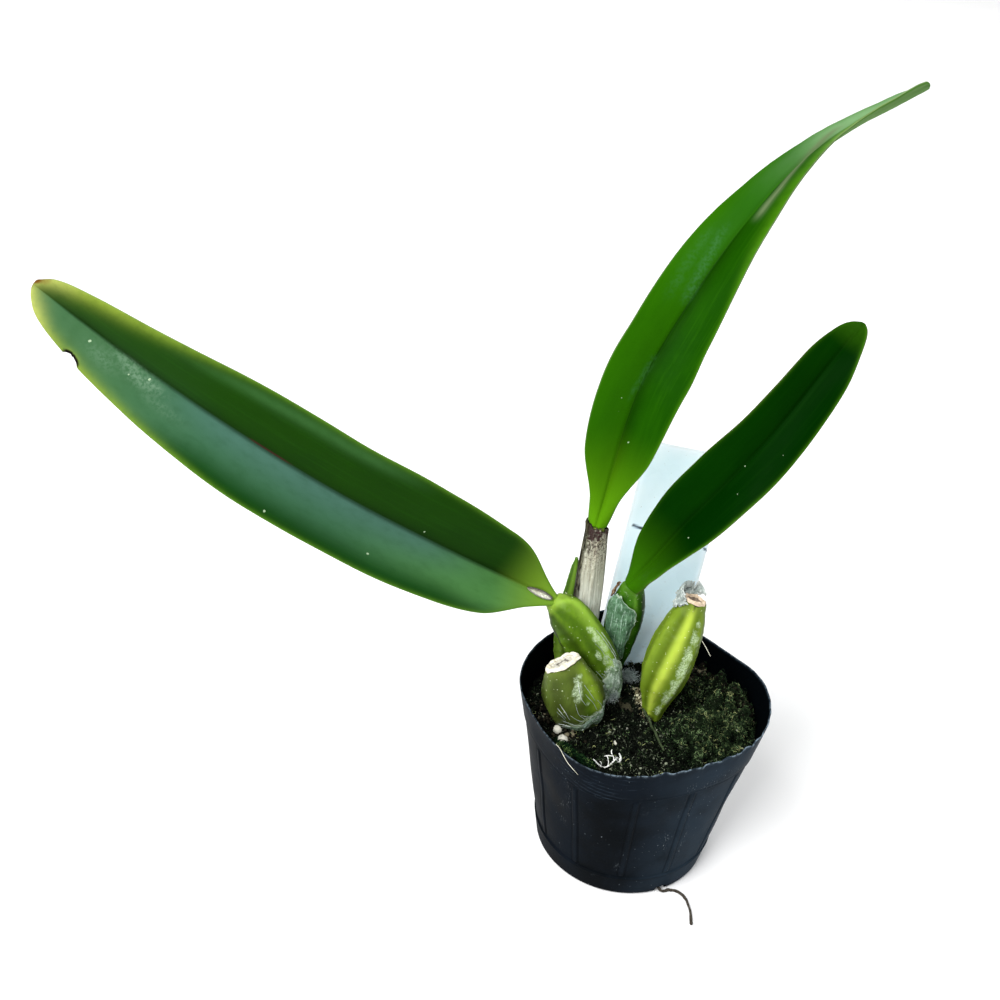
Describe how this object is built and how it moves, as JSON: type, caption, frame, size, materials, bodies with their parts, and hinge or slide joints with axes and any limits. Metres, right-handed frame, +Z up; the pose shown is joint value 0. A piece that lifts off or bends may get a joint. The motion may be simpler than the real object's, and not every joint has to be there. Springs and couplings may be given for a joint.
{
  "type": "potted orchid",
  "caption": "Young cattleya orchid in a soft round nursery pot: long leathery leaves on ridged pseudobulbs, dry papery sheaths, mossy mix and a blank plant label.",
  "frame": {"origin": "on the table, under the middle of the pot's floor", "axes": "+Z up, -Y to the front that the leaves face, +X to the right as seen from the front"},
  "size_m": [0.2976, 0.172, 0.2656],
  "materials": {
    "pot": "thin blue-black plastic, scuffed and dusty",
    "potting_mix": "damp dark mix with moss",
    "rhizome": "dry, scaly",
    "bulb_left": "satin skin with dry white film at the foot",
    "bulb_middle": "satin skin",
    "bulb_back": "satin skin, burgundy at the top",
    "bulb_rear": "satin skin",
    "bulb_right_cut": "satin skin with a white powdery stripe",
    "bulb_front_cut": "satin skin with white film and scratches",
    "leaf_left": "leathery, bluish sheen, yellow-green margin",
    "leaf_tall": "leathery, mid green",
    "leaf_right": "leathery, very dark green",
    "flower_sheath_stub": "dry, papery",
    "sheath_back": "dry, papery, speckled at the top",
    "sheath_middle": "thin papery film with pale veins",
    "sheath_right_cap": "dry, papery",
    "stray_root": "old, dull",
    "label": "translucent plastic, unprinted",
    "trailing_root": "dry, dull"
  },
  "bodies": {
    "root": {"pot": "pot", "potting_mix": "potting_mix", "rhizome": "rhizome", "bulb_left": "bulb_left", "bulb_middle": "bulb_middle", "bulb_back": "bulb_back", "bulb_rear": "bulb_rear", "bulb_right_cut": "bulb_right_cut", "bulb_front_cut": "bulb_front_cut", "leaf_left": "leaf_left", "leaf_tall": "leaf_tall", "leaf_right": "leaf_right", "flower_sheath_stub": "flower_sheath_stub", "sheath_back": "sheath_back", "sheath_middle": "sheath_middle", "sheath_right_cap": "sheath_right_cap", "stray_root": "stray_root", "label": "label", "trailing_root": "trailing_root"}
  },
  "joints": []
}
